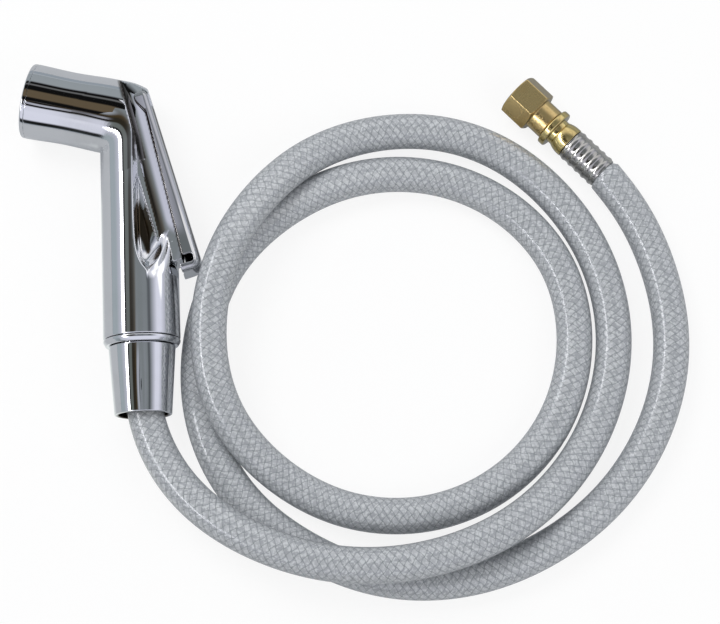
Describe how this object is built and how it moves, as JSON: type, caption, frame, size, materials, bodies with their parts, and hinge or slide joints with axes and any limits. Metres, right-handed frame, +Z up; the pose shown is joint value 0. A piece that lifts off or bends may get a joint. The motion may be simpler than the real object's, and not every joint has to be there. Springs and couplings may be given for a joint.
{
  "type": "handheld bath sprayer",
  "caption": "Chromed pistol-grip bath sprayer with a squeeze lever on the back, a clear braided hose in loops and a brass hex inlet fitting.",
  "frame": {"origin": "centre of the handset's bounding box on the surface it lies on; the hose and its inlet fitting are left out", "axes": "+Y up the handle towards the head, -X the way the spray leaves, +Z up from the surface, across the handle"},
  "size_m": [0.2822, 0.2262, 0.032],
  "materials": {
    "chrome": "bright chrome plate on moulded plastic",
    "brass": "turned and milled, lightly dulled",
    "steel": "crimped sheet, shiny on the ribs",
    "rubber": "matt moulded",
    "white_plastic": "satin moulded",
    "clear_vinyl": "half-clear vinyl over a fine white braid"
  },
  "bodies": {
    "handset": {"handle_body": "chrome", "bezel_ring": "chrome", "spray_plate": "white_plastic", "face_o_ring": "rubber", "flow_disc": "white_plastic", "lever_pin": "steel", "valve_gland": "brass", "valve_seat": "white_plastic", "valve_spring": "steel", "base_collar": "chrome", "hose_washer": "rubber", "hose_tail": "brass", "handset_ferrule": "steel", "hose": "clear_vinyl", "inlet_ferrule": "steel", "inlet_stem": "brass", "inlet_washer": "rubber"},
    "lever": {"lever": "chrome"},
    "valve": {"valve_stem": "brass", "stem_o_ring": "rubber", "poppet_washer": "rubber"},
    "hose_nut": {"cone_nut": "chrome"},
    "supply_nut": {"inlet_nut": "brass"}
  },
  "joints": [
    {"name": "lever_squeeze", "type": "hinge", "parent": "handset", "child": "lever", "pos_m": [0.01332, 0.05911, 0.016], "axis": [0, 0, -1], "range_deg": [0, 2], "stiffness_Nm_per_rad": 2, "springref_deg": -4.58},
    {"name": "valve_slide", "type": "slide", "parent": "handset", "child": "valve", "axis": [-0.9521, -0.3057, 0], "range_m": [0, 0.0017], "deforming": ["valve_spring"]},
    {"name": "hose_nut_spin", "type": "hinge", "parent": "handset", "child": "hose_nut", "pos_m": [0.0149, -0.0439, 0.016], "axis": [0.0419, -0.9991, 0], "continuous": true},
    {"name": "supply_nut_spin", "type": "hinge", "parent": "handset", "child": "supply_nut", "pos_m": [0.1729, 0.0659, 0.0088], "axis": [-0.7071, 0.7071, 0], "continuous": true}
  ],
  "couplings": [
    {"joint": "valve_slide", "follows": "lever_squeeze", "m_per_rad": 0.046}
  ]
}
